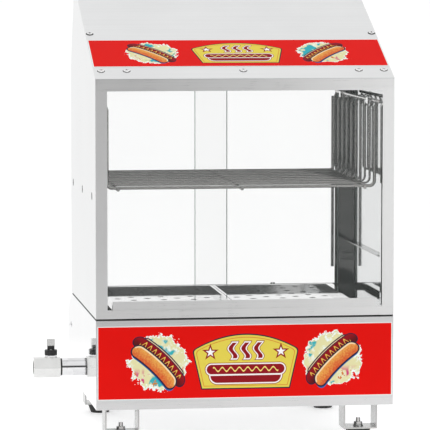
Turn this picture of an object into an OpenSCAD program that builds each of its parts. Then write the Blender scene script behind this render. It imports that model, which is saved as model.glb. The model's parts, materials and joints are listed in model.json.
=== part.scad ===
// Glass-fronted hot dog steamer: a warm-water base with a drain valve and rear
// controls, a glazed cabinet with a sloped roof, lift-out trays and a wire bun rack.
// Cabinet coordinates: X centre 0, Y 0 at the front face, Z 0 at the base's bottom edge.

/* [Overall] */
// Width of base and cabinet
body_w = 400; // [390:1:410]
// Depth of the base
base_d = 400; // [395:1:410]
// Depth of the glazed cabinet
cab_d = 345; // [345:1:346]
// Height of the water base
base_h = 119; // [119:0.5:120]
// Height of the roof ridge above the base's bottom edge
ridge_z = 550; // [545:1:560]
// Sheet thickness
t = 1.2; // [1.2:0.1:1.2]

/* [Roof] */
// Height where the front slope starts
slope_z = 438.8; // [438:0.2:440]
// Depth at which the flat ridge starts
ridge_y = 262; // [258:1:266]
// Depth of the flat ridge
ridge_len = 35; // [30:1:38]
// Height where the steep rear slope ends
rear_z = 440; // [440:0.5:441]

/* [Glazing] */
// Thickness of every glass pane
glass_t = 4; // [4:0.5:4]
// Width of the front posts
post_w = 15.5; // [15:0.5:19]
// Travel of each rear sliding door, used for the door widths
door_lap = 46; // [40:1:50]

/* [Bun rack] */
// Number of rack wires
rack_n = 10; // [6:1:10]
// Spacing of the rack wires
rack_pitch = 34; // [34:0.5:34]
// Height of the rack deck wires
rack_z = 295; // [285:1:305]
// Diameter of a rack wire
wire_d = 3; // [3:0.1:3.2]
// Diameter of the rack's long rods
rod_d = 4.5; // [4.5:0.1:4.8]
// Half width between the upright wires
rack_x = 180; // [178:0.5:181]
// Sideways place of the rack on its hangers
rack_shift = -2.8; // [-2.8:0.1:2.8]
// Diameter of the rack's thicker front wire
front_wire_d = 4.4; // [4:0.1:4.6]

/* [Trays] */
// Depth of a tray below its rim
tray_h = 8.1; // [8.1:0.1:8.1]
// Diameter of a steam hole
perf_d = 9; // [6:0.5:10]
// Spacing of steam holes in one row
perf_px = 42; // [40:1:46]
// Spacing of the rows
perf_py = 19; // [18:1:22]

/* [Feet] */
// Height of a foot bracket
bracket_h = 37; // [36:0.5:38]
// Height of a rubber foot
rubber_h = 13; // [12:0.5:14]
// Sideways distance of the feet from the middle
foot_x = 162; // [160:1:163]

/* [Drain] */
// Depth of the drain pipe's axis
drain_y = 327; // [326:0.5:328]
// Height of the drain pipe's axis
drain_z = 15.5; // [15:0.5:16]
// Width across flats of the valve body
valve_af = 28; // [27:0.5:29]
// Radius of the outlet thread
outlet_r = 9.3; // [9:0.1:9.5]

/* [Hidden] */
e = 0.01;
hw = body_w / 2;
hi = hw - t;
cab_z = base_h + 2.5;
foot_h = bracket_h + rubber_h;
heat_x = 80;
valve_x = -232;
valve_end = -257;
gland_y = base_d + 24;
org_x = -(valve_end + hw + 1.85) / 2;
org_y = -(gland_y - 0.35) / 2;
slope_a = atan((ridge_z - slope_z) / ridge_y);
roof_o = [[0, slope_z], [ridge_y, ridge_z], [ridge_y + ridge_len, ridge_z], [cab_d, rear_z]];
function unit(v) = v / norm(v);
function low(a, b) = let(u = unit(b - a)) [u[1], -u[0]];
function mitre(a, b, c, d) = let(m = low(a, b), n = low(b, c)) b + (m + n) * d / (1 + m * n);
function roof_in(d) = [[0, slope_z - d / cos(slope_a)],
    mitre(roof_o[0], roof_o[1], roof_o[2], d),
    mitre(roof_o[1], roof_o[2], roof_o[3], d),
    roof_o[3] + low(roof_o[2], roof_o[3]) * d];
roof_1 = roof_in(t);
roof_2 = roof_in(2 * t);
pa_y = 346;
pa_z = base_h - 0.4;
pb_z = 92;
pan_a = atan((pa_z - pb_z) / (base_d - pa_y));
pan_y = (pa_y + base_d) / 2;
pan_z = (pa_z + pb_z) / 2;
knob_x = 95;
switch_x = -95;
lamp_x = -50;
limit_x = 15;
tray_in = 2.8;
tray_out = 166;
tray_y0 = 17;
tray_y1 = 321;
rim_z = 130;
glass_y = 3.4;
door_y1 = 331;
door_y2 = 337.8;
door_z0 = 124.4;
door_z1 = 430;
door_x = 186;
top_z = 407;
foot_y = [51, 326];

// ---------- shared shapes ----------
module cab() translate([org_x, org_y, foot_h]) children();

module box(x0, x1, y0, y1, z0, z1)
    translate([x0, y0, z0]) cube([x1 - x0, y1 - y0, z1 - z0]);

// A Y-Z outline drawn out along X
module prism(pts, x0, x1)
    translate([x0, 0, 0]) rotate([90, 0, 90]) linear_extrude(x1 - x0) polygon(pts);

// An X-Z outline drawn out along Y
module slab(pts, y0, y1)
    translate([0, y1, 0]) rotate([90, 0, 0]) linear_extrude(y1 - y0) polygon(pts);

module rod_x(x0, x1, y, z, r) translate([x0, y, z]) rotate([0, 90, 0]) cylinder(r = r, h = x1 - x0, $fn = 32);

module rod_y(x, y0, y1, z, r) translate([x, y0, z]) rotate([-90, 0, 0]) cylinder(r = r, h = y1 - y0, $fn = 32);

module hex(af, h) cylinder(d = af / cos(30), h = h, $fn = 6);

// Truss head with a cross recess, seated on z = 0, and its shank below
module screw(r = 5.3, shank = 6) {
    difference() {
        intersection() {
            translate([0, 0, -6.65]) sphere(8.5, $fn = 48);
            cylinder(r = r + 1, h = 5, $fn = 48);
        }
        translate([-2.4, -0.5, 0.7]) cube([4.8, 1, 3]);
        translate([-0.5, -2.4, 0.7]) cube([1, 4.8, 3]);
    }
    translate([0, 0, -shank]) cylinder(r = 2, h = shank + 0.2, $fn = 32);
}

// Places things on the roof's front slope: s runs up the slope
module on_slope(x, s)
    translate([x, s * cos(slope_a), slope_z + s * sin(slope_a)]) rotate([slope_a, 0, 0]) children();

// Places things on the sloped control panel, z out of the panel, y towards the rear
module on_panel(x) translate([x, pan_y, pan_z]) rotate([-pan_a, 0, 0]) children();

module both() {
    children();
    mirror([1, 0, 0]) children();
}

front_s = [[-hw + 10, 25], [-156, 25], [0, 25], [156, 25], [hw - 10, 25], [-hw + 6, 144], [hw - 6, 144]];
top_s = [[-hw + 7, 268], [hw - 7, 268]];

// ---------- water base ----------
module base_shell() color("silver") cab() difference() {
    prism([[0, 0], [base_d, 0], [base_d, pb_z], [cab_d, base_h], [0, base_h]], -hw, hw);
    box(-hi, hi, t, base_d + 9, t, base_h - t);
    box(-hw + 12, hw - 12, 12, base_d + 9, base_h - 3, base_h + 9);
    box(-hi, hi, 340, base_d + 9, base_h - 3, base_h + 9);
    box(-hw + 14, hw - 14, 14, base_d + 9, -9, 3);
    rod_x(-hw - 9, -hw + 9, drain_y, drain_z, 9.3);
    rod_x(-hw - 9, hw + 9, 357, 73, 2.2);
}

module base_bottom_plate() color("darkgray") cab() difference() {
    box(-hi + 0.1, hi - 0.1, t + 0.1, base_d - t - 0.2, t, 2 * t);
    for (x = [-110:20:110], y = [355, 375]) translate([x - 6, y, -1]) cube([12, 4, 9]);
}

module base_top_deck() color("silver") cab() difference() {
    box(-hi + 0.1, hi - 0.1, t + 0.1, 340, base_h - 2 * t, base_h - t);
    box(-170.4, 170.4, 23.6, 339.4 + 9, 100, 130);
}

module control_panel() color("silver") cab() difference() {
    prism([[pa_y, pa_z], [base_d, pb_z], [base_d, t], [base_d - t, t],
        [base_d - t, pb_z - t * tan(45 - pan_a / 2)],
        [pa_y - t * sin(pan_a), pa_z - t * cos(pan_a)]], -hi + 0.1, hi - 0.1);
    on_panel(knob_x) translate([0, 0, -9]) cylinder(r = 5, h = 20, $fn = 48);
    on_panel(switch_x) translate([-10, -14.4, -9]) cube([20, 28.8, 20]);
    on_panel(lamp_x) translate([0, 0, -9]) cylinder(r = 5.1, h = 20, $fn = 48);
    on_panel(limit_x) translate([0, 0, -9]) cylinder(r = 7.2, h = 20, $fn = 48);
    rod_y(-140, base_d - 9, base_d + 9, 45, 8.1);
    for (i = [0:9]) translate([20 + 14 * i, base_d - 9, 22]) cube([5, 20, 34]);
}

module base_decal() color("red") cab() box(-hw + 1.8, hw - 1.8, -0.35, 0, 13.2, 111.4);

module water_tank() color("gainsboro") cab() difference() {
    union() {
        box(-170, 170, 24, 339, 4, base_h);
        box(-184, 184, 14, 345, base_h - t, base_h);
    }
    box(-170 + t, 170 - t, 24 + t, 339 - t, 4 + t, base_h + 9);
    rod_x(-180, -160, drain_y, drain_z, 9.02);
    for (x = [-heat_x, heat_x]) rod_y(x, 330, 345, 40, 4.05);
}

// Tubular heater: two legs through the rear wall joined by a wide bend over the tank floor
module heating_element() color("dimgray") cab() union() {
    for (s = [-1, 1]) {
        rod_y(heat_x * s, 90, 354, 40, 4);
        rod_y(heat_x * s, 350, 360, 40, 2.5);
        mirror([s < 0 ? 1 : 0, 0, 0]) translate([heat_x - 30, 90, 40]) rotate([0, 0, -90])
            rotate_extrude(angle = 90, $fn = 64) translate([30, 0]) circle(4, $fn = 32);
    }
    rod_x(-heat_x + 30, heat_x - 30, 60, 40, 4);
}

module heater_nuts() color("goldenrod") cab() for (x = [-heat_x, heat_x]) difference() {
    union() {
        translate([x, 339, 40]) rotate([-90, 0, 0]) cylinder(r = 9, h = 1.2, $fn = 48);
        translate([x, 340.2, 40]) rotate([-90, 0, 0]) hex(14, 6);
    }
    rod_y(x, 330, 360, 40, 4.05);
}

module seam_gasket() color("black") cab() difference() {
    union() {
        box(-hw + 1, hw - 1, 4.5, 344, base_h, cab_z);
        for (s = [-1, 1]) box(s * 190.5 - 9, s * 190.5 + 9, 0.6, 20, base_h, cab_z);
    }
    box(-hw + 13, hw - 13, 15, 331, base_h - 9, cab_z + 9);
}

// ---------- feet ----------
module foot_brackets() color("lightgray") cab() for (s = [-1, 1], y = foot_y) difference() {
    box(s * foot_x - 23, s * foot_x + 23, y - 19, y + 19, -bracket_h, t);
    box(s * foot_x - 21, s * foot_x + 21, y - 20, y + 20, -bracket_h + 2, -0.8);
    box(s * foot_x - 11, s * foot_x + 11, y - 20, y + 20, -9, 9);
    translate([s * foot_x, y, -foot_h]) cylinder(r = 3.2, h = foot_h, $fn = 32);
}

module rubber_feet() color("black") cab() for (s = [-1, 1], y = foot_y)
    translate([s * foot_x, y, -foot_h]) difference() {
        union() {
            cylinder(r1 = 13, r2 = 16.75, h = rubber_h - 3, $fn = 64);
            translate([0, 0, rubber_h - 3]) cylinder(r = 16.75, h = 3, $fn = 64);
        }
        translate([0, 0, 4]) cylinder(r = 3.02, h = 20, $fn = 32);
    }

module foot_studs() color("silver") cab() for (s = [-1, 1], y = foot_y)
    translate([s * foot_x, y, -foot_h]) {
        translate([0, 0, 4.2]) cylinder(r = 3, h = foot_h - 24 - 4.2, $fn = 32);
        translate([0, 0, rubber_h + 2]) cylinder(r = 7, h = 1.4, $fn = 48);
        translate([0, 0, rubber_h + 3]) hex(10, 4.6);
    }

// ---------- drain ----------
module drain_nipple() color("silver") cab() difference() {
    union() {
        rod_x(-223.5, -166, drain_y, drain_z, 9);
        rod_x(-172.5, -170, drain_y, drain_z, 11);
    }
    rod_x(-240, -160, drain_y, drain_z, 6.5);
}

module drain_sleeve() color("silver") cab() difference() {
    rod_x(-216.5, -hw, drain_y, drain_z, 12.75);
    rod_x(-240, -160, drain_y, drain_z, 9.05);
}

module valve_gasket() color("black") cab() difference() {
    rod_x(-219, -216.5, drain_y, drain_z, 12.2);
    rod_x(-240, -160, drain_y, drain_z, 9.05);
}

module valve_body() color("silver") cab() difference() {
    union() {
        translate([valve_end, drain_y, drain_z]) rotate([0, 90, 0]) rotate([0, 0, 30]) hex(valve_af, 38);
        translate([valve_x, drain_y, drain_z]) cylinder(r = 9, h = valve_af / 2 + 1.2, $fn = 48);
    }
    rod_x(-223.5, -200, drain_y, drain_z, 9.05);
    rod_x(valve_end - 9, valve_end + 15, drain_y, drain_z, outlet_r);
    rod_x(valve_end - 9, -200, drain_y, drain_z, 5);
    translate([valve_x, drain_y, drain_z]) sphere(7.8, $fn = 64);
    translate([valve_x, drain_y, drain_z]) cylinder(r = 3.55, h = 40, $fn = 48);
}

module valve_collar() color("silver") cab() difference() {
    translate([valve_x, drain_y, drain_z + valve_af / 2 + 1.2]) hex(15, 2);
    translate([valve_x, drain_y, drain_z]) cylinder(r = 3.6, h = 40, $fn = 48);
}

module valve_ball() color("gainsboro") cab() translate([valve_x, drain_y, drain_z]) difference() {
    sphere(7.5, $fn = 64);
    rotate([90, 0, 0]) cylinder(r = 5, h = 30, center = true, $fn = 48);
    translate([0, 0, 6.2]) cylinder(r = 9, h = 9, $fn = 32);
}

module valve_stem() color("silver") cab() translate([valve_x, drain_y, drain_z + 6.2])
    cylinder(r = 3.5, h = 19.9, $fn = 48);

module valve_cap() color("#222222") cab() translate([valve_x, drain_y, drain_z + valve_af / 2 + 3.6]) difference() {
    union() {
        cylinder(r = 9, h = 7.4, $fn = 64);
        translate([-5, -3.2, 7]) cube([10, 6.4, 6]);
    }
    translate([0, 0, -9]) cylinder(r = 3.52, h = 17.6, $fn = 48);
    for (i = [0:15]) rotate([0, 0, i * 22.5]) translate([9.5, 0, -1]) cylinder(r = 1, h = 7.6, $fn = 24);
    translate([-3.6, -1.3, 9]) cube([7.2, 2.6, 9]);
}

module valve_lever() color("silver") cab() translate([valve_x, drain_y, drain_z + valve_af / 2 + 12.6]) {
    translate([-3.5, -1.2, 0]) cube([7, 2.4, 5]);
    translate([-5.7, -1.2, 4.2]) cube([11.4, 2.4, 9.6]);
}

// ---------- cabinet frame ----------
module side_panel() difference() {
    union() {
        prism([[0, cab_z], [cab_d, cab_z], roof_1[3], roof_1[2], roof_1[1], roof_1[0]], -hw, -hi);
        box(-hw, -hw + post_w, 0, t, cab_z + 11.6, 422.4);
        box(-hw, -hw + 18, cab_d - t, cab_d, cab_z, 423.8);
        box(-hw, -hw + post_w, 8.4, 8.4 + t, 134, 402);
        box(-hw + post_w - t, -hw + post_w, 8.4, 17.2, 134, 402);
        box(-hw, -hw + 15, 12, cab_d, cab_z, cab_z + t);
        intersection() {
            prism([roof_1[0], roof_1[1], roof_1[2], roof_2[2], roof_2[1], roof_2[0]], -hw, -hw + 20);
            box(-hw, -hw + 20, 36, 294, 400, 600);
        }
    }
    for (y = [51, 182, 315]) rod_x(-hw - 9, -hw + 9, y, 281, 5.25);
    on_slope(-hw + 6, 144) translate([0, 0, -9]) cylinder(r = 2.2, h = 20, $fn = 32);
    on_slope(-hw + 7, 268) translate([0, 0, -9]) cylinder(r = 2.2, h = 20, $fn = 32);
}

module side_panel_left() color("gainsboro") cab() side_panel();

module side_panel_right() color("gainsboro") cab() mirror([1, 0, 0]) side_panel();

module front_top_rail() color("gainsboro") cab() difference() {
    union() {
        box(-hi + 0.1, hi - 0.1, 0, t, 422.5, roof_1[0][1] - 0.1);
        intersection() {
            prism([roof_1[0], roof_1[1], roof_2[1], roof_2[0]], -hi + 0.1, hi - 0.1);
            box(-hi, hi, 0, 35.5, 400, 600);
        }
        box(-hi + 0.1, hi - 0.1, 9, 9 + t, 424, roof_1[0][1] + 2.6);
    }
    for (p = front_s) on_slope(p[0], p[1]) translate([0, 0, -9]) cylinder(r = 2.2, h = 20, $fn = 32);
}

module front_sill_rail() color("silver") cab() union() {
    box(-hi + 0.1, hi - 0.1, 0, t, cab_z, cab_z + 11.5);
    box(-hi + 0.1, hi - 0.1, 0, 9.8, cab_z, cab_z + t);
}

module glass_channel() color("silver") cab() difference() {
    box(-177.5, 177.5, 1.4, 10, cab_z + t, 144.3);
    box(-200, 200, 2.6, 8.8, cab_z + 2 * t, 200);
    box(-200, 200, 5, 20, 139, 200);
}

module front_glass() color([0.85, 0.92, 0.92, 0.35]) cab()
    box(-191, 191, glass_y, glass_y + glass_t, cab_z + 2 * t + 0.3, 432);

module floor_frame() color("silver") cab() difference() {
    box(-hi + 0.1, hi - 0.1, 10.2, 328.6, cab_z + t, cab_z + 2 * t);
    box(-168.8, 168.8, 15, 323, 100, 140);
}

module side_ledges() color("silver") cab() both() union() {
    box(-169.8, -168.6, 11, 328, cab_z + 2 * t, rim_z - t);
    box(-176.2, -168.6, 11, 328, rim_z - 2 * t, rim_z - t);
}

module centre_rail() color("silver") cab() difference() {
    box(-2.1, 2.1, 11, 328, cab_z + 2 * t, rim_z - t);
    box(-2.1 + t, 2.1 - t, 9, 330, 100, rim_z - 2 * t);
}

// A perforated tray with a rim that rests on the ledges
module tray() difference() {
    union() {
        box(tray_in, tray_out, tray_y0, tray_y1, rim_z - tray_h, rim_z);
        box(0.4, tray_out + 9, 12, 326, rim_z - t + 0.3, rim_z);
    }
    box(tray_in + t, tray_out - t, tray_y0 + t, tray_y1 - t, rim_z - tray_h + t, rim_z + 9);
    for (j = [0:14]) for (i = [0:3])
        let(x = 21 + perf_px * i + (j % 2) * perf_px / 2, y = 36 + perf_py * j)
            if (x < tray_out - 6) translate([x, y, 100]) cylinder(d = perf_d, h = 30, $fn = 24);
}

module tray_right() color("silver") cab() tray();

module tray_left() color("silver") cab() mirror([1, 0, 0]) tray();

module side_screws() color("silver") cab() both()
    translate([-hw, 357, 73]) rotate([0, -90, 0]) screw(3.2, 5);

// ---------- roof ----------
module roof_panel() color("gainsboro") cab() difference() {
    prism([roof_o[0], roof_o[1], roof_o[2], roof_o[3], roof_1[3], roof_1[2], roof_1[1], roof_1[0]], -hw, hw);
    for (p = front_s) on_slope(p[0], p[1]) translate([0, 0, -9]) cylinder(r = 2.2, h = 20, $fn = 32);
    for (p = top_s) on_slope(p[0], p[1]) translate([0, 0, -9]) cylinder(r = 2.2, h = 20, $fn = 32);
}

module roof_decal() color("red") cab() on_slope(0, 37.5) translate([-hw + 1, 0, 0]) cube([body_w - 2, 85, 0.35]);

module roof_screws() color("silver") cab() for (p = front_s) on_slope(p[0], p[1]) screw();

module roof_top_screws() color("#222222") cab() for (p = top_s) on_slope(p[0], p[1]) screw();

// ---------- rear ----------
module rear_top_rail() color("gainsboro") cab()
    box(-hi + 0.1, hi - 0.1, cab_d - t, cab_d, 424, roof_1[3][1] - 0.2);

module track(z0, h) difference() {
    box(-hi + 0.1, hi - 0.1, 329, 343.6, z0, z0 + h);
    box(-hw, hw, 330.2, 335.9, z0 + t, z0 + h + 9);
    box(-hw, hw, 337.1, 342.4, z0 + t, z0 + h + 9);
}

module rear_bottom_track() color("silver") cab() track(cab_z + t, 6.3);

module rear_top_track() color("silver") cab() translate([0, 0, 860]) mirror([0, 0, 1]) track(860 - 436, 12);

module door_left_glass() color([0.85, 0.92, 0.92, 0.35]) cab()
    box(-door_x, door_lap / 2, door_y1, door_y1 + glass_t, door_z0, door_z1);

module door_right_glass() color([0.85, 0.92, 0.92, 0.35]) cab()
    box(-door_lap / 2, door_x, door_y2, door_y2 + glass_t, door_z0, door_z1);

module pull(y0, d) difference() {
    box(-2, 2, y0, y0 + d, 153, 400);
    for (i = [-1, 1]) translate([i * 0.9, y0 + d, 140]) cylinder(r = 0.4, h = 270, $fn = 24);
}

module door_left_pull() color("dimgray") cab() translate([-178.5, 0, 0]) pull(door_y1 + glass_t, 2.2);

module door_right_pull() color("dimgray") cab() translate([178.5, 0, 0]) pull(door_y2 + glass_t, 4);

// ---------- bun rack ----------
bend_r = 7;
flat_x = rack_x - bend_r;
rod_x_top = rack_x + 4;

// The front wire is thicker and hangs a little lower than the others
function rack_w(i) = i == 0 ? front_wire_d : wire_d;
function rack_dz(i) = i == 0 ? -1.5 : 0;

module rack_deck() color("silver") cab() translate([rack_shift, 0, 0]) union() {
    for (i = [0:rack_n - 1])
        rod_x(-flat_x, flat_x, 20 + rack_pitch * i, rack_z + rack_dz(i), rack_w(i) / 2);
    for (x = [-166, 0, 166]) rod_y(x, 13, 329, rack_z - wire_d / 2 - rod_d / 2 + 0.4, rod_d / 2);
}

module rack_end() union() {
    for (i = [0:rack_n - 1]) let(w = rack_w(i), z = rack_z + rack_dz(i) + bend_r)
        translate([0, 20 + rack_pitch * i, 0]) {
            translate([flat_x, 0, z]) rotate([90, 0, 0]) rotate([0, 0, -90])
                rotate_extrude(angle = 90, $fn = 48) translate([bend_r, 0]) circle(w / 2, $fn = 32);
            translate([rack_x, 0, z]) cylinder(d = w, h = 397 - z, $fn = 32);
            translate([rack_x, 0, 397]) sphere(w / 2 + 0.05, $fn = 32);
            translate([rack_x, 0, 397]) rotate([0, atan(4 / 10), 0]) cylinder(d = w, h = 10.4, $fn = 32);
        }
    rod_y(rod_x_top, 13, 329, top_z, rod_d / 2);
}

module rack_end_right() color("silver") cab() translate([rack_shift, 0, 0]) rack_end();

module rack_end_left() color("silver") cab() translate([rack_shift, 0, 0]) mirror([1, 0, 0]) rack_end();

// Hooks on a side wall that carry one of the rack's top rods, drawn for the left wall
module hangers(p) for (y = [71, 275]) union() {
    box(-hi, -p + 5, y - 6, y + 6, top_z - 5.6, top_z - rod_d / 2 - 0.3);
    box(-p + 3.2, -p + 5, y - 6, y + 6, top_z - 5.6, top_z + 2.5);
    box(-hi, -hi + t, y - 6, y + 6, top_z - 16, top_z - 3);
}

module rack_hangers() color("silver") cab() union() {
    hangers(rod_x_top - rack_shift);
    mirror([1, 0, 0]) hangers(rod_x_top + rack_shift);
}

module wall_rails() color("silver") cab() both() union() {
    box(-hi, -hi + t, 77, 327, 190, 194);
    box(-hi, -hi + 6, 77, 327, 194 - t, 194);
}

// ---------- controls ----------
module thermostat_body() color("dimgray") cab() on_panel(knob_x) difference() {
    union() {
        translate([-20, -16, -30]) cube([40, 32, 28.7]);
        translate([0, 0, -2]) cylinder(r = 4.8, h = 2.3, $fn = 48);
    }
    translate([0, 0, -26]) cylinder(r = 3.05, h = 40, $fn = 48);
}

module thermostat_shaft() color("silver") cab() on_panel(knob_x)
    translate([0, 0, -25]) cylinder(r = 3, h = 37, $fn = 48);

module thermostat_knob() color("#222222") cab() on_panel(knob_x) difference() {
    union() {
        translate([0, 0, 0.7]) cylinder(r = 18, h = 4.3, $fn = 64);
        translate([0, 0, 5]) cylinder(r1 = 16, r2 = 14.5, h = 10, $fn = 64);
        translate([-3, -15.5, 5]) cube([6, 31, 13]);
    }
    translate([0, 0, -1]) cylinder(r = 3.02, h = 13.5, $fn = 48);
    translate([-0.8, 8, 17.3]) cube([1.6, 9, 3]);
}

module switch_housing() color("#222222") cab() on_panel(switch_x) difference() {
    union() {
        translate([-12, -16.5, 0]) cube([24, 33, 2]);
        translate([-9.8, -14.2, -22]) cube([19.6, 28.4, 22.5]);
    }
    translate([-7.8, -12.4, -12]) cube([15.6, 24.8, 30]);
    rotate([0, 90, 0]) cylinder(r = 1.56, h = 18.8, center = true, $fn = 32);
}

module power_rocker() color("darkred") cab() on_panel(switch_x) rotate([-9, 0, 0]) union() {
    translate([-7.4, 0, 0]) rotate([90, 0, 90]) linear_extrude(14.8)
        polygon([[-11, -1], [-11, 4.4], [0, 2.2], [11, 4.4], [11, -1], [5, -6], [-5, -6]]);
    rotate([0, 90, 0]) cylinder(r = 1.5, h = 18, center = true, $fn = 32);
}

module indicator_lamp() color("orange") cab() on_panel(lamp_x) union() {
    cylinder(r = 7, h = 1.8, $fn = 48);
    translate([0, 0, 1.8]) intersection() {
        translate([0, 0, -3]) sphere(6, $fn = 48);
        cylinder(r = 6, h = 5, $fn = 48);
    }
    translate([0, 0, -18]) cylinder(r = 4.9, h = 18.5, $fn = 48);
}

module limiter_housing() color("#222222") cab() on_panel(limit_x) difference() {
    union() {
        cylinder(r = 9.5, h = 5, $fn = 6);
        translate([0, 0, -24]) cylinder(r = 7, h = 25, $fn = 48);
    }
    translate([0, 0, -8]) cylinder(r = 4.06, h = 30, $fn = 48);
}

module reset_button() color("red") cab() on_panel(limit_x) translate([0, 0, -4]) cylinder(r = 4, h = 11.5, $fn = 48);

module cable_gland() color("#222222") cab() translate([-140, base_d, 45]) rotate([-90, 0, 0]) difference() {
    union() {
        translate([0, 0, -10]) cylinder(r = 8, h = 12, $fn = 48);
        translate([0, 0, -6.3]) hex(20, 5);
        hex(22, 8);
        translate([0, 0, 8]) cylinder(r1 = 10.5, r2 = 7.6, h = 16, $fn = 64);
    }
    translate([0, 0, -20]) cylinder(r = 4.1, h = 60, $fn = 48);
}

module terminal_block() color("ivory") cab() difference() {
    box(-165, -115, 372, 390, 2 * t, 20);
    for (i = [0:4]) translate([-155 + 10 * i, 381, 12]) cylinder(r = 2.5, h = 20, $fn = 32);
}

base_shell();
base_bottom_plate();
base_top_deck();
control_panel();
base_decal();
water_tank();
heating_element();
heater_nuts();
seam_gasket();
foot_brackets();
rubber_feet();
foot_studs();
drain_nipple();
drain_sleeve();
valve_gasket();
valve_body();
valve_collar();
valve_ball();
valve_stem();
valve_cap();
valve_lever();
side_panel_left();
side_panel_right();
front_top_rail();
front_sill_rail();
glass_channel();
front_glass();
floor_frame();
side_ledges();
centre_rail();
tray_left();
tray_right();
roof_panel();
roof_decal();
roof_screws();
roof_top_screws();
rear_top_rail();
rear_bottom_track();
rear_top_track();
door_left_glass();
door_left_pull();
door_right_glass();
door_right_pull();
rack_deck();
rack_end_left();
rack_end_right();
rack_hangers();
wall_rails();
thermostat_body();
thermostat_knob();
thermostat_shaft();
switch_housing();
power_rocker();
indicator_lamp();
limiter_housing();
reset_button();
cable_gland();
terminal_block();
side_screws();
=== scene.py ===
"""Looks of a countertop hot dog steamer: brushed and polished stainless sheet, glass panes,
a chromed wire rack, a drain valve, rear controls and printed front films."""

import json
import math

import bpy
import numpy as np
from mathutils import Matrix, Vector


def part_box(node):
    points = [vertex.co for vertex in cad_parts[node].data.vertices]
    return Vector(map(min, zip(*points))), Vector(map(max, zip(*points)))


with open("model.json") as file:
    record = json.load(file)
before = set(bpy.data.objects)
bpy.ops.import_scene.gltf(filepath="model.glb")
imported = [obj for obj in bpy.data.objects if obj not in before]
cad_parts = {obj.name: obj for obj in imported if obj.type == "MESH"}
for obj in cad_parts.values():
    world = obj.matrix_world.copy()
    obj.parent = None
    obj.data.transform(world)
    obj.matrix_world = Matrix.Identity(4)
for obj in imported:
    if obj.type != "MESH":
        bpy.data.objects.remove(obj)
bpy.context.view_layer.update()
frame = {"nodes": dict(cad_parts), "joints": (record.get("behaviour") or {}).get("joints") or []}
nodes = frame["nodes"]

# ------------------------------------------------------------------ places, from the CAD
base_lo, base_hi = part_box("base_shell")
MID = (base_lo.x + base_hi.x) / 2          # middle of the cabinet
FRONT = base_lo.y                          # plane of the front sheet
BASE = base_lo.z                           # bottom edge of the base
HALF = (base_hi.x - base_lo.x) / 2
MM = 0.001


def at(x, y, z):
    """A point given in millimetres from the base's front bottom middle, in the frame."""
    return np.array([MID + x * MM, FRONT + y * MM, BASE + z * MM])


# ------------------------------------------------------------------ shader arithmetic
class S:
    """A socket that takes part in arithmetic. Each operator adds one Math node."""

    def __init__(self, tree, out):
        self.tree, self.out = tree, out

    def node(self, kind, settings=None, inputs=None, out=0):
        """Adds one node: its settings first, then the values or links of its sockets."""
        n = self.tree.nodes.new(kind)
        for key, value in (settings or {}).items():
            setattr(n, key, value)
        for key, value in (inputs or {}).items():
            if isinstance(value, S):
                self.tree.links.new(value.out, n.inputs[key])
            else:
                n.inputs[key].default_value = value
        return S(self.tree, n.outputs[out])

    def math(self, op, a, b=None, c=None):
        given = {i: v for i, v in enumerate((a, b, c)) if v is not None}
        return self.node("ShaderNodeMath", {"operation": op}, given)

    def __add__(self, v):
        return self.math("ADD", self, v)

    __radd__ = __add__

    def __sub__(self, v):
        return self.math("SUBTRACT", self, v)

    def __rsub__(self, v):
        return self.math("SUBTRACT", v, self)

    def __mul__(self, v):
        return self.math("MULTIPLY", self, v)

    __rmul__ = __mul__

    def __truediv__(self, v):
        return self.math("DIVIDE", self, v)

    def __pow__(self, v):
        return self.math("POWER", self, v)

    def __abs__(self):
        return self.math("ABSOLUTE", self)

    def __neg__(self):
        return self.math("MULTIPLY", self, -1.0)

    def sin(self):
        return self.math("SINE", self)

    def low(self, v):
        return self.math("MINIMUM", self, v)

    def high(self, v):
        return self.math("MAXIMUM", self, v)

    def step(self, a, b):
        """0 below a, 1 above b, smooth between."""
        return self.node("ShaderNodeMapRange", {"interpolation_type": "SMOOTHSTEP", "clamp": True},
                         {"Value": self, "From Min": a, "From Max": b})

    def blend(self, a, b):
        """Colour a where this is 0 and colour b where it is 1."""
        full = [(*v, 1.0) if isinstance(v, tuple) and len(v) == 3 else v for v in (a, b)]
        return self.node("ShaderNodeMix", {"data_type": "RGBA"}, {0: self, 6: full[0], 7: full[1]}, 2)

    def noise(self, size, scale=1.0, detail=3.0, rough=0.5):
        """Noise read on this point, which is first stretched by size along each axis."""
        spot = self.node("ShaderNodeMapping", {}, {"Vector": self, "Scale": size})
        return self.node("ShaderNodeTexNoise", {}, {"Vector": spot, "Scale": scale, "Detail": detail,
                                                    "Roughness": rough})


def finish(name, fixed, paint=None):
    """A material: fixed values sit on the shader's own sockets, paint(start, spot) returns what varies."""
    m = bpy.data.materials.new(name)
    m.use_nodes = True
    tree = m.node_tree
    shader = tree.nodes["Principled BSDF"]
    for key, value in fixed.items():
        colour = isinstance(value, tuple) and len(value) == 3
        shader.inputs[key].default_value = (*value, 1.0) if colour else value
    if paint:
        start = S(tree, None)
        spot = start.node("ShaderNodeTexCoord", out=3)
        for key, value in paint(start, spot).items():
            tree.links.new(value.out, shader.inputs[key])
    return m


def split(spot):
    """The three coordinates of a point, as sockets."""
    n = spot.tree.nodes.new("ShaderNodeSeparateXYZ")
    spot.tree.links.new(spot.out, n.inputs[0])
    return [S(spot.tree, o) for o in n.outputs]


def bumped(height, strength, distance, normal=None):
    """A Bump node that turns a height into a normal."""
    given = {"Height": height, "Strength": strength, "Distance": distance}
    if normal is not None:
        given["Normal"] = normal
    return height.node("ShaderNodeBump", {}, given)


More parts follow.
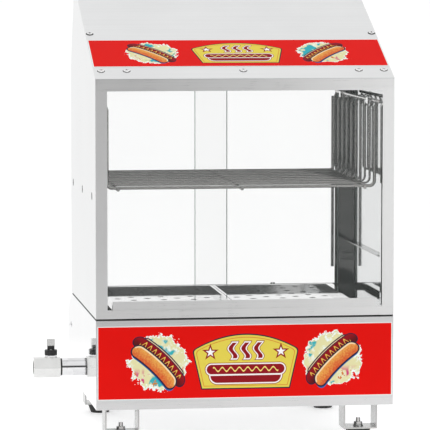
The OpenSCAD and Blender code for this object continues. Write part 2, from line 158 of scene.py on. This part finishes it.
# ------------------------------------------------------------------ finishes
def sheet_steel(name, tone, rough, grain, depth=0.10, polish=None, painted_fold_shade=None, satin=None):
    """Rolled stainless sheet: fine grain lines along one axis, wider faint streaks, cloudy smudges.
    grain is the stretch of the line noise along x, y and z; polish(x, y, z) is 1 on mirror faces,
    painted_fold_shade(x, y, z) is 1 on folds where a dark tone is painted in as shade, and satin is the
    tone where polish is 0."""
    def paint(start, spot):
        lines = spot.noise(grain, 1.0, 4.0, 0.65)
        streak = spot.noise(tuple(g * 0.09 for g in grain), 1.0, 3.0, 0.6)
        cloud = spot.noise((7.0, 7.0, 7.0), 1.0, 3.0, 0.5)
        wipe = spot.noise((38.0, 38.0, 16.0), 1.0, 2.0, 0.6)
        shade = (lines - 0.5) * 0.30 + (streak - 0.5) * 0.22 + (cloud - 0.5) * 0.30 + 0.5
        dull = (lines - 0.5) * 0.16 + (wipe - 0.5) * 0.07 + rough
        dark, light = tuple(c * 0.90 for c in tone), tuple(min(1.0, c * 1.08) for c in tone)
        height = lines
        if polish:
            smooth = polish(*split(spot))
            dull = dull * (1.0 - smooth) + (wipe * 0.05 + 0.02) * smooth
            shade = shade * (1.0 - smooth) + smooth * (cloud * 0.4 + 0.45)
            height = lines * (1.0 - smooth)
        colour = shade.step(0.2, 0.8).blend(dark, light)
        if satin:
            colour = smooth.blend(shade.step(0.2, 0.8).blend(tuple(c * 0.94 for c in satin), satin), colour)
        if painted_fold_shade:
            # painted shade: the side walls' rear fold is coloured near black, standing in for the shadow it
            # lies in
            colour = painted_fold_shade(*split(spot)).blend(colour, (0.13, 0.13, 0.128))
        return {"Base Color": colour, "Roughness": dull.high(0.02),
                "Normal": bumped(height, depth, 0.0002)}
    return finish(name, {"Metallic": 1.0, "Base Color": tone, "Roughness": rough}, paint)


def wall_polish(x, y, z):
    """1 on a side wall's polished faces, inside and out, 0 on its satin front flange."""
    return y.step(FRONT + 0.0014, FRONT + 0.0018)


def rear_fold_painted_shade(x, y, z):
    """1 on the inward fold at a side wall's rear edge, which is painted dark as shade."""
    return y.step(FRONT + 0.3430, FRONT + 0.3436) * (1.0 - abs(x - MID).step(HALF - 0.0012, HALF - 0.0008))


def side_faces(x, y, z):
    """1 on the outer side faces of the base, which are polished, 0 on its satin front."""
    return abs(x - MID).step(HALF - 0.0004, HALF - 0.0002) * y.step(FRONT + 0.0014, FRONT + 0.0018)


steel_front = sheet_steel("steel_front", (0.88, 0.88, 0.878), 0.30, (14, 1900, 1900))
steel_base = sheet_steel("steel_base", (0.76, 0.764, 0.768), 0.30, (14, 1900, 1900), polish=side_faces)
steel_side = sheet_steel("steel_side", (0.62, 0.628, 0.63), 0.30, (1900, 14, 1900), polish=wall_polish,
                         painted_fold_shade=rear_fold_painted_shade, satin=(0.92, 0.92, 0.918))
steel_mirror = sheet_steel("steel_mirror", (0.80, 0.80, 0.80), 0.06, (1900, 12, 1900), depth=0.02)
# painted shade: a dark steel tone for the rear tracks, standing in for the shade they sit in
steel_painted_shade = sheet_steel("steel_painted_shade", (0.22, 0.22, 0.217), 0.16, (12, 1900, 1900), depth=0.04)
steel_roof = sheet_steel("steel_roof", (0.75, 0.755, 0.757), 0.32, (14, 1900, 1900))
# painted shade: the water tank's tone is set dark, standing in for its shadow, so the tray holes above it
# read dark
steel_tank_shaded = sheet_steel("steel_tank_shaded", (0.30, 0.30, 0.295), 0.34, (12, 1900, 1900))
steel_part = sheet_steel("steel_part", (0.50, 0.50, 0.495), 0.26, (700, 700, 700), depth=0.06)
steel_rail = sheet_steel("steel_rail", (0.34, 0.34, 0.335), 0.14, (700, 12, 700), depth=0.06)


def polished(name, tone, rough):
    """Bright metal with faint fingermark patches in its gloss and a slight ripple."""
    def paint(start, spot):
        patch = spot.noise((60.0, 60.0, 60.0), 1.0, 2.0, 0.5)
        fine = spot.noise((900.0, 900.0, 900.0), 1.0, 2.0, 0.5)
        return {"Roughness": patch * 0.06 + rough, "Normal": bumped(fine, 0.03, 0.0001),
                "Base Color": patch.step(0.25, 0.75).blend(tuple(c * 0.94 for c in tone), tone)}
    return finish(name, {"Metallic": 1.0}, paint)


chrome = polished("chrome", (0.84, 0.84, 0.85), 0.05)
satin_nickel = polished("satin_nickel", (0.78, 0.78, 0.77), 0.22)
# painted dark reflection: the rack wires' chrome tone is set dark, standing in for the dark surroundings
# they reflect
wire_chrome_painted_dark = polished("wire_chrome_painted_dark", (0.40, 0.39, 0.38), 0.05)
brass = polished("brass", (0.72, 0.52, 0.24), 0.22)


def dull_solid(name, tone, rough, grain=1400.0, depth=0.25, spread=0.25, fixed=None, mark=None):
    """A moulded or rubbery solid: a fine pebbled surface and slightly uneven colour and gloss.
    mark(x, y, z) is 1 where a pale printed mark lies."""
    def paint(start, spot):
        pebble = spot.noise((grain,) * 3, 1.0, 2.0, 0.6)
        cloud = spot.noise((35.0,) * 3, 1.0, 3.0, 0.5)
        colour = cloud.step(0.25, 0.75).blend(tuple(c * (1 - spread) for c in tone), tone)
        if mark:
            colour = mark(*split(spot)).blend(colour, (0.80, 0.80, 0.78))
        return {"Base Color": colour, "Roughness": cloud * 0.14 + rough - 0.07,
                "Normal": bumped(pebble, depth, 0.0001)}
    return finish(name, fixed or {}, paint)


# the tilted control face at the rear: its middle, its normal and its uphill direction
knob_lo, knob_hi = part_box("thermostat_knob")
KNOB_X = (knob_lo.x + knob_hi.x) / 2
turn_joint = next(j for j in frame["joints"] if j["name"] == "thermostat_turn")
DOWN = Vector(turn_joint["axis"]).normalized()
KNOB_AT = Vector(turn_joint["pos_m"])
UP_FACE = DOWN.cross(Vector((1, 0, 0))).normalized()


def face_plane(x, y, z, mid):
    """Two coordinates on the tilted control face, in millimetres from a point: across and uphill."""
    across = (x - mid.x) * 1000.0
    uphill = ((y - mid.y) * UP_FACE.y + (z - mid.z) * UP_FACE.z) * 1000.0
    return across, uphill


def knob_line(x, y, z):
    """A pale pointer line from the knob's middle to its rim."""
    u, v = face_plane(x, y, z, KNOB_AT)
    top = 1.0 - abs(u).step(0.7, 0.9)
    return top * v.step(5.0, 5.3)


def dial_marks(x, y, z):
    """Ticks of a dial round the knob: short strokes every 27 degrees over three quarters of a turn."""
    u, v = face_plane(x, y, z, KNOB_AT)
    r = (u * u + v * v) ** 0.5
    turn = u.math("ARCTAN2", u, v)
    beat = abs((turn + math.pi).math("MODULO", turn + math.pi, math.radians(27.0)) - math.radians(13.5))
    stroke = 1.0 - (beat * r).step(0.55, 0.75)
    ring = r.step(21.8, 22.1) * (1.0 - r.step(25.0, 25.3))
    arc = r.step(20.4, 20.6) * (1.0 - r.step(21.0, 21.2))
    open_end = 1.0 - abs(turn).step(2.30, 2.34)
    return (stroke * ring).high(arc) * open_end


rubber = dull_solid("rubber_black", (0.018, 0.018, 0.018), 0.62, 1500, 0.35)
black_plastic = dull_solid("plastic_black", (0.016, 0.016, 0.017), 0.38, 1800, 0.2)
knob_plastic = dull_solid("plastic_knob", (0.016, 0.016, 0.017), 0.32, 1800, 0.2, mark=knob_line)
red_plastic = dull_solid("plastic_red", (0.55, 0.02, 0.015), 0.25, 1500, 0.05)
amber_lens = dull_solid("plastic_amber", (0.9, 0.30, 0.02), 0.12, 900, 0.05,
                        fixed={"Coat Weight": 0.5, "Transmission Weight": 0.15})
ivory_plastic = dull_solid("plastic_ivory", (0.62, 0.58, 0.46), 0.45, 1500, 0.2)
heater_skin = dull_solid("heater_skin", (0.10, 0.095, 0.09), 0.45, 1200, 0.3, fixed={"Metallic": 0.8})


def panel_steel():
    """The control face's sheet with the dial printed on it in black."""
    def paint(start, spot):
        lines = spot.noise((14, 1900, 1900), 1.0, 4.0, 0.65)
        cloud = spot.noise((9.0,) * 3, 1.0, 3.0, 0.5)
        ink = dial_marks(*split(spot))
        shade = (lines - 0.5) * 0.3 + (cloud - 0.5) * 0.3 + 0.5
        metal = shade.step(0.2, 0.8).blend((0.72, 0.72, 0.72), (0.85, 0.85, 0.85))
        return {"Base Color": ink.blend(metal, (0.02, 0.02, 0.02)), "Metallic": 1.0 - ink,
                "Roughness": (lines - 0.5) * 0.16 + 0.30, "Normal": bumped(lines, 0.1, 0.0002)}
    return finish("steel_panel", {}, paint)


steel_panel = panel_steel()


def pane_glass(name, node):
    """Thin clear float glass: seen straight through face on, a clear sheen towards grazing views, a faint
    film of steam, and green-grey ground edges within half a millimetre of the pane's ends."""
    lo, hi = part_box(node)

    def paint(start, spot):
        x, y, z = split(spot)
        sheen = start.node("ShaderNodeFresnel", {}, {"IOR": 1.5})
        haze = spot.noise((11.0, 11.0, 5.0), 1.0, 3.0, 0.6)
        edge = abs(x - (lo.x + hi.x) / 2).step((hi.x - lo.x) / 2 - 0.0009, (hi.x - lo.x) / 2 - 0.0006)
        edge = edge.high(z.step(hi.z - 0.0009, hi.z - 0.0006))
        clear = (sheen * 0.60 + haze * 0.012).low(1.0)
        return {"Alpha": clear * (1.0 - edge) + edge * 0.85, "Roughness": haze * 0.04 + 0.005 + edge * 0.3,
                "Base Color": edge.blend((0.86, 0.92, 0.90), (0.30, 0.38, 0.35))}
    return finish(name, {"IOR": 1.5}, paint)


glass_front = pane_glass("glass_front", "front_glass")
glass_left = pane_glass("glass_door_left", "door_left_glass")
glass_right = pane_glass("glass_door_right", "door_right_glass")


# ------------------------------------------------------------------ printed films
INK_RED = (0.72, 0.007, 0.005)
INK_PALE = (0.82, 0.90, 0.88)
INK_NAVY = (0.012, 0.018, 0.045)
INK_YELLOW = (0.72, 0.60, 0.085)
INK_ORANGE = (0.62, 0.22, 0.035)
INK_WINE = (0.26, 0.010, 0.016)
INK_CREAM = (0.72, 0.69, 0.38)
INK_TEAL = (0.04, 0.40, 0.46)
INK_PINK = (0.60, 0.06, 0.20)
INK_BUN = (0.70, 0.20, 0.045)
INK_CRUST = (0.78, 0.42, 0.09)
INK_CRUMB = (0.85, 0.66, 0.42)
INK_SAUSAGE = (0.10, 0.012, 0.014)
INK_MUSTARD = (0.80, 0.52, 0.09)


def inked(d, soft=0.25):
    """1 where a distance is below nought, fading over a quarter of a millimetre."""
    return 1.0 - d.step(-soft, soft)


def bar(u, v, half, r):
    """Distance to a straight round-ended bar along u, of half length half and radius r."""
    du = (abs(u) - half).high(0.0)
    return (du * du + v * v) ** 0.5 - r


def star(u, v, r):
    """Distance to a five-pointed star: the angle is folded to one half point, then the distance
    to its edge line."""
    far = (u * u + v * v) ** 0.5
    fold = math.radians(72.0)
    turn = u.math("ARCTAN2", u, v) + fold * 5.5
    a = abs(turn.math("MODULO", turn, fold) - fold / 2)
    px, py = far * a.math("COSINE", a), far * a.sin()
    # after the fold a point of the star lies at angle 0 and a notch at 36 degrees
    nx, ny = 0.40 * r * math.cos(fold / 2), 0.40 * r * math.sin(fold / 2)
    ex, ey = nx - r, ny
    size = math.hypot(ex, ey)
    return (px - r) * (ey / size) - py * (ex / size)


def snack(colour, spot, u, v, mirror):
    """A plain drawn snack on a ragged wash of paint: a sausage in a split bun with a mustard wave.
    u and v are millimetres from its middle; mirror is 1 or -1."""
    u = u * mirror
    ragged = spot.noise((85.0,) * 3, 1.0, 3.0, 0.7)
    brush = spot.noise((70.0, 70.0, 70.0), 1.0, 3.0, 0.7)
    dabs = spot.noise((45.0, 30.0, 34.0), 1.0, 2.0, 0.6)
    fleck = spot.noise((420.0,) * 3, 1.0, 2.0, 0.6)
    wash = ((u * u) * 0.00066 + (v * v) * 0.00074) ** 0.5 - 1.0 + (ragged - 0.5) * 0.85
    colour = inked(wash, 0.012).blend(colour, INK_PALE)
    colour = inked(wash + 0.06, 0.02).blend(colour, brush.step(0.52, 0.66).blend(INK_CREAM, INK_PALE))
    dab = inked(wash + 0.12, 0.03)
    colour = (dab * dabs.step(0.56, 0.60)).blend(colour, INK_TEAL)
    colour = (dab * (1.0 - dabs.step(0.38, 0.42)) * (1.0 - v.step(-18.0, -6.0))).blend(colour, INK_PINK)
    colour = (dab * brush.step(0.58, 0.62) * (1.0 - v.step(-12.0, 4.0))).blend(colour, INK_ORANGE)
    # along and across the snack, which leans at 45 degrees and sags a little in its middle
    lean = math.radians(-44.0)
    along = u * math.cos(lean) + v * math.sin(lean)
    across = v * math.cos(lean) - u * math.sin(lean) + along * along * 0.0028 - 1.0
    back = bar(along, across - 9.6, 31.0, 5.0)
    meat = bar(along, across - 5.0, 37.0, 7.4)
    front = bar(along, across + 6.4, 29.0, 8.2)
    shadow = bar(along - 2.0, across + 9.4, 29.0, 8.2)
    colour = inked(shadow.high(-across - 30.0)).blend(colour, (0.03, 0.10, 0.32))
    colour = inked(back - 1.6).blend(colour, INK_NAVY)
    colour = inked(back).blend(colour, (fleck + across * 0.04).step(0.6, 1.2).blend(INK_BUN, INK_CRUMB))
    colour = inked(meat - 1.2).blend(colour, INK_NAVY)
    skin = (fleck * 0.6 + across * 0.10).step(0.3, 1.3).blend(INK_SAUSAGE, INK_WINE)
    colour = inked(meat).blend(colour, skin)
    wave = abs(across - 5.0 - (along * 0.80).sin() * 4.4) - 1.25
    colour = inked(wave.high(abs(along) - 35.0)).blend(colour, INK_MUSTARD)
    colour = inked(front - 1.8).blend(colour, INK_NAVY)
    shade = across * 0.06 + fleck * 1.6 + brush * 0.6
    colour = inked(front).blend(colour, shade.step(0.0, 1.5).blend((0.62, 0.085, 0.03), INK_CRUST))
    rim = (front.high(-front - 2.0)).high(-across - 4.5)
    return inked(rim).blend(colour, INK_CRUMB)


def sign(colour, u, v):
    """A plain sign: straight sides that widen upwards under an arched top, a thin inner line, two stars,
    and a picture of a bun with three wisps of steam."""
    side = (58.5 + (v - 25.0) * 0.23 - abs(u)) * 0.974
    top = (95.8 - u * u * 0.0041 - v) * 0.93
    d = side.math("SMOOTH_MIN", side, top, 7.0).low(v - 25.0)
    colour = inked(-d - 1.6).blend(colour, INK_NAVY)
    colour = inked(-d).blend(colour, INK_YELLOW)
    colour = inked(abs(d - 3.0) - 0.45).blend(colour, INK_ORANGE)
    u_star = abs(u) - 47.5
    points = star(u_star, v - 73.0, 8.4)
    colour = inked(points - 1.1).blend(colour, INK_WINE)
    colour = inked(points + 0.6).blend(colour, (0.9, 0.9, 0.9))
    sway = u - ((v - 62.0) * 0.30).sin() * 3.0
    wisp = abs(sway).low(abs(abs(sway) - 17.0)) - 2.9
    wisp = wisp.high(abs(v - 75.0) - 10.5)
    meat = bar(u, v - 50.0, 46.0, 6.4)
    bun = bar(u, v - 41.5, 38.0, 9.5)
    split_line = meat - 2.0
    ink = wisp.low(meat).low(bun)
    colour = inked(ink - 2.6).blend(colour, INK_WINE)
    colour = inked(ink - 1.7).blend(colour, (0.88, 0.86, 0.84))
    colour = inked(ink).blend(colour, INK_WINE)
    colour = inked(split_line.high(-meat).high(bun)).blend(colour, (0.88, 0.86, 0.84))
    squiggle = abs(v - 50.0 - (u * 0.55).sin() * 2.6) - 0.95
    return inked(squiggle.high(abs(u) - 44.0)).blend(colour, (0.86, 0.72, 0.20))


def film(name, place, size, edge):
    """A printed film under a clear laminate. place(x, y, z) gives millimetres across and up the film,
    size is the drawing's scale on it and edge its half width and its lower and upper ends."""
    def paint(start, spot):
        x, y, z = split(spot)
        u, v = place(x, y, z)
        soft = spot.noise((14.0,) * 3, 1.0, 2.0, 0.5)
        colour = soft.step(0.3, 0.7).blend(tuple(c * 0.95 for c in INK_RED), INK_RED)
        mid = (edge[1] + edge[2]) / 2
        su, sv = u / size, (v - mid) / size + 60.5
        colour = sign(colour, su, sv)
        for hand in (-1, 1):
            colour = snack(colour, spot, (u - hand * 117.0) / size, sv - 61.0, -hand)
        rim = abs(u) - (edge[0] - 0.9)
        rim = rim.high(abs(v - mid) - ((edge[2] - edge[1]) / 2 - 0.9))
        colour = (1.0 - inked(rim)).blend(colour, INK_PALE)
        return {"Base Color": colour, "Roughness": soft * 0.08 + 0.52}
    return finish(name, {"Coat Weight": 0.06, "Coat Roughness": 0.05, "Specular IOR Level": 0.02}, paint)


film_lo, film_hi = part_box("base_decal")
slope_lo, slope_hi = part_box("roof_decal")
SLOPE = math.atan2(slope_hi.z - slope_lo.z, slope_hi.y - slope_lo.y)
ROOF_DRAWING = 0.87                        # size of the roof's drawing against the base's


def base_place(x, y, z):
    """Millimetres across and up the film on the base."""
    return (x - MID) * 1000.0, (z - BASE) * 1000.0


def roof_place(x, y, z):
    """Millimetres across and up the film on the roof's slope."""
    up = (y - slope_lo.y) * math.cos(SLOPE) + (z - slope_lo.z) * math.sin(SLOPE)
    return (x - MID) * 1000.0, up * 1000.0


film_base = film("film_base", base_place, 1.0,
                 ((film_hi.x - film_lo.x) * 500, (film_lo.z - BASE) * 1000, (film_hi.z - BASE) * 1000))
film_roof = film("film_roof", roof_place, ROOF_DRAWING,
                 ((slope_hi.x - slope_lo.x) * 500, 0.0,
                  math.hypot(slope_hi.y - slope_lo.y, slope_hi.z - slope_lo.z) * 1000))


def slope_screw():
    """Bright domed heads on the roof's slope with a painted shadow line where they meet the sheet."""
    def paint(start, spot):
        x, y, z = split(spot)
        lift = ((z - slope_lo.z) * math.cos(SLOPE) - (y - slope_lo.y) * math.sin(SLOPE)) * 1000.0
        # painted shadow: the heads turn near black within 0.45 to 0.75 mm of the sheet
        root_shadow = 1.0 - lift.step(0.45, 0.75)
        patch = spot.noise((300.0,) * 3, 1.0, 2.0, 0.5)
        return {"Base Color": root_shadow.blend((0.86, 0.86, 0.86), (0.05, 0.05, 0.05)),
                "Roughness": patch * 0.1 + 0.12}
    return finish("screw_bright", {"Metallic": 1.0}, paint)


screw_bright = slope_screw()

dress = {
    steel_base: "base_shell base_top_deck base_bottom_plate",
    steel_panel: "control_panel",
    steel_side: "side_panel_left side_panel_right",
    steel_roof: "roof_panel rear_top_rail",
    steel_front: "front_sill_rail glass_channel front_top_rail",
    steel_mirror: "floor_frame side_ledges centre_rail tray_left tray_right rack_hangers",
    steel_rail: "wall_rails door_left_pull door_right_pull",
    steel_painted_shade: "rear_bottom_track rear_top_track",
    steel_tank_shaded: "water_tank",
    steel_part: "foot_brackets foot_studs thermostat_shaft",
    satin_nickel: "drain_nipple valve_body valve_ball valve_stem valve_lever",
    chrome: "drain_sleeve valve_collar side_screws",
    screw_bright: "roof_screws",
    wire_chrome_painted_dark: "rack_deck rack_end_left rack_end_right",
    brass: "heater_nuts",
    rubber: "rubber_feet seam_gasket valve_gasket",
    black_plastic: "valve_cap roof_top_screws thermostat_body switch_housing limiter_housing cable_gland",
    knob_plastic: "thermostat_knob",
    red_plastic: "power_rocker reset_button",
    amber_lens: "indicator_lamp",
    ivory_plastic: "terminal_block",
    heater_skin: "heating_element",
    glass_front: "front_glass",
    glass_left: "door_left_glass",
    glass_right: "door_right_glass",
    film_base: "base_decal",
    film_roof: "roof_decal",
}
for material, names in dress.items():
    for n in names.split():
        for place in nodes[n].material_slots:
            place.material = material


# ------------------------------------------------------------------ stage, light, camera
FLOOR_GLOW = 0.46                          # the table's own light
FLOOR_SIDE, FLOOR_FRONT, FLOOR_BACK = 70, -70, 90


def floor_paint(start, spot):
    """A white table with painted light: it is darker towards the front as painted shade, and a painted pool
    of light glows round the object.
    """
    x, y, z = split(spot)
    # painted shade: the table's glow and grey fall off towards the front
    glow = y.step(-0.90, -0.22)
    # painted pool of light round the object, making up for the shade under and around it
    painted_pool = 1.0 - (x * x + y * y).step(0.10, 1.20)
    tone = (glow * 0.85 + 0.15) * (painted_pool * 0.58 + 0.42)
    grey = start.node("ShaderNodeCombineColor", {}, {0: tone, 1: tone, 2: tone})
    return {"Emission Color": grey, "Base Color": glow.blend((0.50, 0.50, 0.50), (0.82, 0.82, 0.82))}


floor_mat = finish("floor_white", {"Roughness": 0.7, "Emission Strength": FLOOR_GLOW}, floor_paint)
fm = bpy.data.meshes.new("floor")
fm.from_pydata([(-FLOOR_SIDE, FLOOR_FRONT, 0), (FLOOR_SIDE, FLOOR_FRONT, 0),
                (FLOOR_SIDE, FLOOR_BACK, 0), (-FLOOR_SIDE, FLOOR_BACK, 0)], [], [(0, 1, 2, 3)])
fm.materials.append(floor_mat)
floor = bpy.data.objects.new("floor", fm)
bpy.context.scene.collection.objects.link(floor)

world = bpy.data.worlds.new("studio")
bpy.context.scene.world = world
world.use_nodes = True
wt = world.node_tree
sky = S(wt, None)
way = sky.node("ShaderNodeTexCoord", out=0)
wx, wy, wz = split(way)
# a room that is bright behind and above; in front it is dark round the camera, with a broad soft box
# to the right of it, a weaker one to the left and a bright strip high up
level = wy.step(-0.10, 0.45) * 0.24 + 0.78
turn = wx.math("ARCTAN2", wx, -wy)
front = 1.0 - wy.step(-0.30, 0.05)
gap = turn.step(-0.55, -0.35) * (1.0 - turn.step(0.22, 0.38)) * front * (1.0 - wz.step(0.22, 0.42))
right_box = turn.step(0.24, 0.40) * (1.0 - turn.step(0.95, 1.15)) * front
right_wing = turn.step(0.95, 1.15) * front
left_wing = (1.0 - turn.step(-1.25, -1.05)) * front
high_front = wz.step(0.35, 0.55) * front
level = level * (1.0 - gap * 0.93) * (1.0 - right_wing * 0.75) * (1.0 - left_wing * 0.45)
level = level + right_box * 0.70 + high_front * 0.25
tone = sky.node("ShaderNodeCombineColor", {}, {0: level, 1: level, 2: level})
wt.links.new(tone.out, wt.nodes["Background"].inputs["Color"])
wt.nodes["Background"].inputs["Strength"].default_value = 1.0


def soft_lamp(name, spot, aim, size, power):
    """A square soft light at spot, turned to aim."""
    data = bpy.data.lights.new(name, "AREA")
    data.size = size
    data.energy = power
    lamp = bpy.data.objects.new(name, data)
    lamp.location = spot
    lamp.visible_camera = False
    lamp.rotation_euler = (Vector(aim) - Vector(spot)).to_track_quat("-Z", "Y").to_euler()
    bpy.context.scene.collection.objects.link(lamp)


soft_lamp("key_soft", (-1.8, -1.6, 2.6), (0, 0, 0.3), 1.6, 9)
soft_lamp("fill_soft", (2.0, -1.8, 1.8), (0, 0, 0.3), 1.4, 4)
soft_lamp("front_right", (0.66, -1.20, 0.40), (0.12, -0.2, 0.3), 0.7, 0.7)

LENS, SENSOR = 255.16, 36.0                # millimetres
YAW, PITCH = math.radians(7.998), math.radians(4.732)
CAMERA_AT = (-601.12, -3984.64, 591.16)    # millimetres from the base's front bottom middle

cam_data = bpy.data.cameras.new("camera")
cam_data.sensor_width = SENSOR
cam_data.lens = LENS
cam_data.clip_end = 400
camera = bpy.data.objects.new("camera", cam_data)
bpy.context.scene.collection.objects.link(camera)
fwd = Vector((math.sin(YAW) * math.cos(PITCH), math.cos(YAW) * math.cos(PITCH), -math.sin(PITCH)))
camera.rotation_euler = fwd.to_track_quat("-Z", "Y").to_euler()
camera.location = Vector(at(*CAMERA_AT))
bpy.context.scene.camera = camera
bpy.context.scene.view_settings.view_transform = "Standard"
